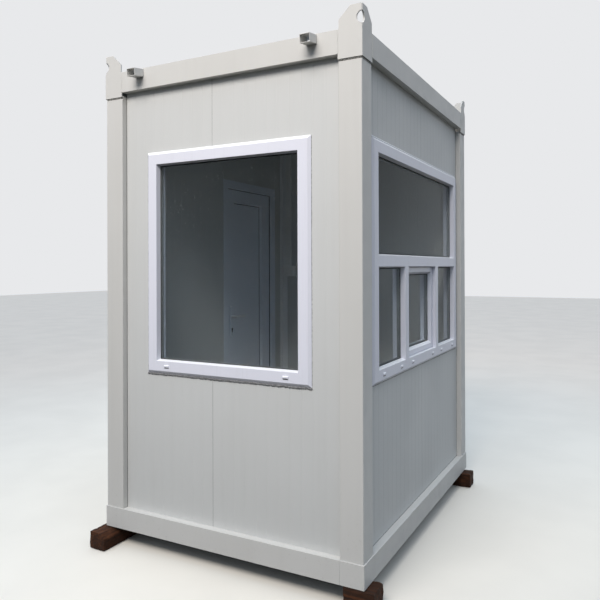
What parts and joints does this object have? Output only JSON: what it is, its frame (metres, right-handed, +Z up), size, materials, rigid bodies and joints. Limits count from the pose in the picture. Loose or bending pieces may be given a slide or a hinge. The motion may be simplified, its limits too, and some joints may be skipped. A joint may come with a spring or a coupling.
{
  "type": "ticket office container",
  "caption": "Small steel-framed office cabin with sandwich-panel walls, plastic windows, a ticket window with an opening sash, a side door, rain spouts and lifting lugs, on timber blocks.",
  "frame": {"origin": "on the ground, under the middle of the whole part's footprint", "axes": "+X to the right seen from the front, +Y from the front window to the back wall, +Z up"},
  "size_m": [1.724, 2.2, 2.803],
  "materials": {
    "painted_steel": "satin",
    "wall_sheet": "satin",
    "galvanised_steel": "matte",
    "white_plastic": "satin",
    "white_metal": "satin",
    "window_glass": "clear",
    "plywood": "matte",
    "aluminium": "satin",
    "timber": "rough sawn"
  },
  "bodies": {
    "container": {"back_wall_left": "wall_sheet", "back_wall_right": "wall_sheet", "ceiling_panel": "wall_sheet", "corner_post_back_left": "painted_steel", "corner_post_back_right": "painted_steel", "corner_post_front_left": "painted_steel", "corner_post_front_right": "painted_steel", "door_frame": "white_plastic", "door_hinges_frame_side": "white_plastic", "door_threshold": "aluminium", "floor_beam_back": "painted_steel", "floor_beam_front": "painted_steel", "floor_beam_left": "painted_steel", "floor_beam_right": "painted_steel", "floor_corner_back_left": "painted_steel", "floor_corner_back_right": "painted_steel", "floor_corner_front_left": "painted_steel", "floor_corner_front_right": "painted_steel", "floor_deck": "plywood", "floor_joists": "galvanised_steel", "floor_underside_sheet": "galvanised_steel", "front_wall_left": "wall_sheet", "front_wall_right": "wall_sheet", "front_window_frame": "white_plastic", "front_window_glass": "window_glass", "interior_corner_trims": "wall_sheet", "left_wall_back": "wall_sheet", "left_wall_front": "wall_sheet", "left_wall_over_door": "wall_sheet", "light_switch": "white_plastic", "rain_spouts": "painted_steel", "right_wall_back": "wall_sheet", "right_wall_front": "wall_sheet", "roof_beam_back": "painted_steel", "roof_beam_front": "painted_steel", "roof_beam_left": "painted_steel", "roof_beam_right": "painted_steel", "roof_corner_back_left": "painted_steel", "roof_corner_back_right": "painted_steel", "roof_corner_front_left": "painted_steel", "roof_corner_front_right": "painted_steel", "roof_sheet": "galvanised_steel", "ticket_sash_glass": "window_glass", "ticket_sash_handle": "white_plastic", "ticket_window_frame": "white_plastic", "ticket_window_glass": "window_glass", "ticket_window_sash": "white_plastic", "timber_block_back_left": "timber", "timber_block_back_right": "timber", "timber_block_front_left": "timber", "timber_block_front_right": "timber", "window_drain_caps": "white_plastic"},
    "door": {"door_leaf": "white_plastic", "door_infill_panel": "white_plastic", "door_hinges_leaf_side": "white_plastic", "door_handle_plates": "white_metal", "door_lock_cylinder": "aluminium"},
    "handle": {"door_handle": "white_metal"}
  },
  "joints": [
    {"name": "door_hinge", "type": "hinge", "parent": "container", "child": "door", "pos_m": [-0.797, 0.754, 1.2], "axis": [0, 0, -1], "range_deg": [0, 100]},
    {"name": "handle_turn", "type": "hinge", "parent": "door", "child": "handle", "pos_m": [-0.756, 0.162, 1.225], "axis": [-1, 0, 0], "range_deg": [0, 40], "stiffness_Nm_per_rad": 0.6, "springref_deg": -57.3}
  ]
}
